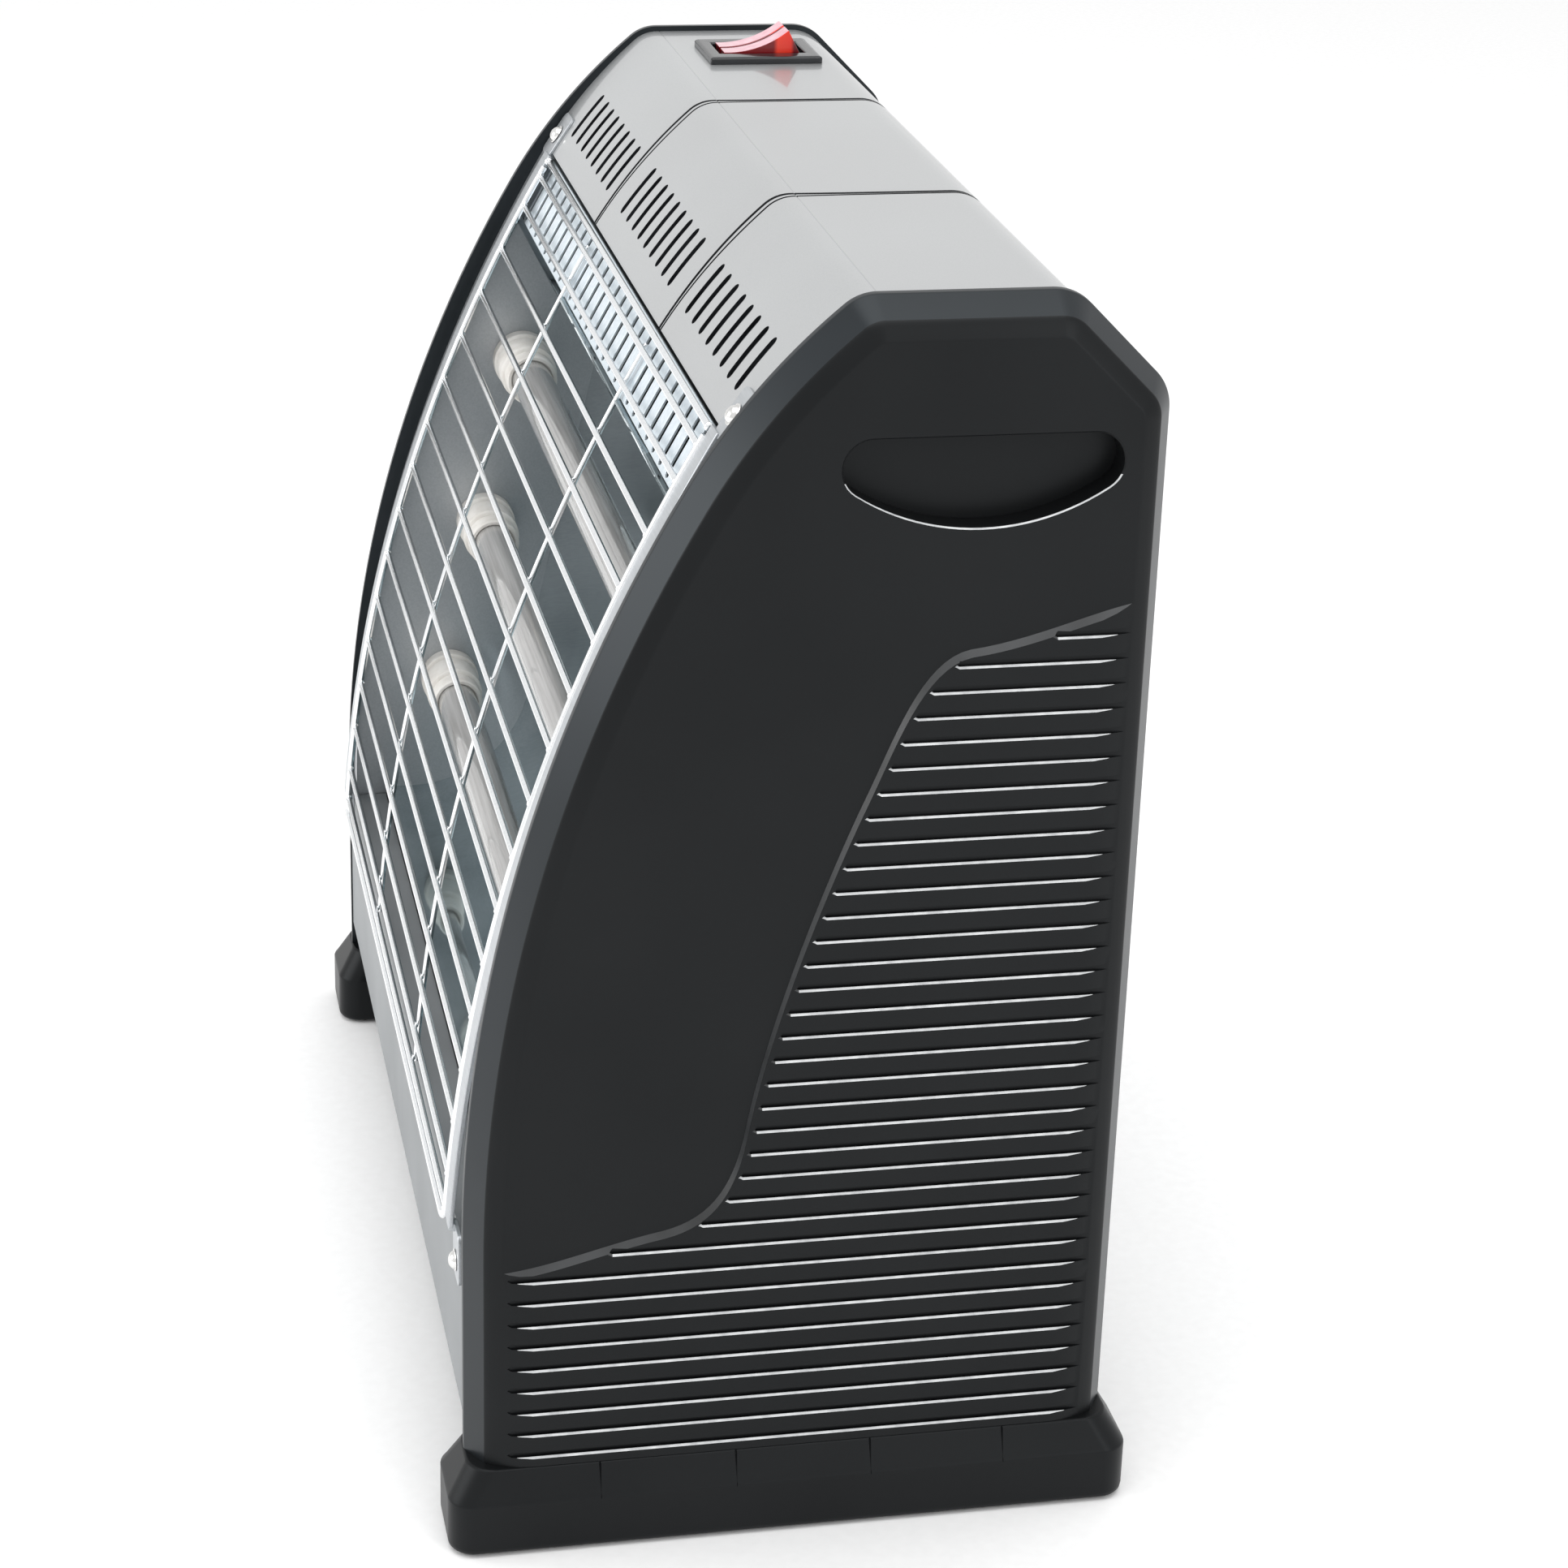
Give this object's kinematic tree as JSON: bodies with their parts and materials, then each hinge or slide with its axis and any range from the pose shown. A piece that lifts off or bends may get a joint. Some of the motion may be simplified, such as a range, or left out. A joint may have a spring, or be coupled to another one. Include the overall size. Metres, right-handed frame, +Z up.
{
  "type": "quartz radiant heater",
  "caption": "Free-standing electric radiant heater: quartz tubes in a polished reflector behind a curved wire guard, with a slotted cover, moulded side panels, plinth feet and a rocker switch.",
  "frame": {"origin": "on the floor, under the middle of the heater's bounding box", "axes": "+Z up; the guard faces -Y; +X runs to the right-hand side panel seen from behind the guard's front"},
  "size_m": [0.389, 0.2103, 0.3864],
  "materials": {
    "black_moulding": "satin moulded",
    "silver_paint": "satin metallic paint",
    "zinc_steel": "zinc plated",
    "foot_rubber": "matt",
    "screw_steel": "bright",
    "mirror_sheet": "bright rolled",
    "bright_strip": "bright rolled",
    "chrome_wire": "bright plated",
    "quartz": "milky",
    "resistance_wire": "oxidised",
    "steatite": "fired, unglazed",
    "brass_contact": "plain",
    "switch_black": "semi-gloss",
    "red_rocker": "gloss, translucent",
    "lamp_glass": "clear",
    "ivory_plastic": "satin",
    "wire_sleeve": "woven glass sleeving"
  },
  "bodies": {
    "case": {"side_panel_left": "black_moulding", "side_panel_right": "black_moulding", "foot_left": "black_moulding", "foot_right": "black_moulding", "foot_pads": "foot_rubber", "top_cover": "silver_paint", "rear_cover": "silver_paint", "lower_front_panel": "silver_paint", "bottom_plate": "zinc_steel", "end_plate_left": "bright_strip", "end_plate_right": "bright_strip", "reflector": "mirror_sheet", "reflector_canopy": "mirror_sheet", "quartz_tube_1": "quartz", "quartz_tube_2": "quartz", "quartz_tube_3": "quartz", "heating_coil_1": "resistance_wire", "heating_coil_2": "resistance_wire", "heating_coil_3": "resistance_wire", "ceramic_caps_left": "steatite", "ceramic_caps_right": "steatite", "contact_pins_left": "brass_contact", "contact_pins_right": "brass_contact", "guard_strip_left": "bright_strip", "guard_strip_right": "bright_strip", "guard_frame_wire": "chrome_wire", "guard_cross_wires": "chrome_wire", "guard_upright_wires": "chrome_wire", "guard_screws": "screw_steel", "rear_cover_screws": "screw_steel", "panel_screws": "screw_steel", "foot_screws": "screw_steel", "switch_housing": "switch_black", "rocker_pin": "screw_steel", "switch_terminals": "brass_contact", "switch_lamp": "lamp_glass", "tilt_switch_case": "ivory_plastic", "tilt_switch_pin": "screw_steel", "thermal_cutout": "switch_black", "terminal_block": "steatite", "terminal_screws": "brass_contact", "internal_wiring": "wire_sleeve", "cable_gland": "foot_rubber"},
    "rocker": {"switch_rocker": "red_rocker"},
    "pendulum": {"tilt_pendulum": "zinc_steel"}
  },
  "joints": [
    {"name": "rocker_tilt", "type": "hinge", "parent": "case", "child": "rocker", "pos_m": [-0.134, 0.0433, 0.37579], "axis": [1, 0, 0], "range_deg": [-36, 0]},
    {"name": "pendulum_swing", "type": "hinge", "parent": "case", "child": "pendulum", "pos_m": [0.1, 0.062, 0.0692], "axis": [1, 0, 0], "range_deg": [-20, 20]}
  ]
}
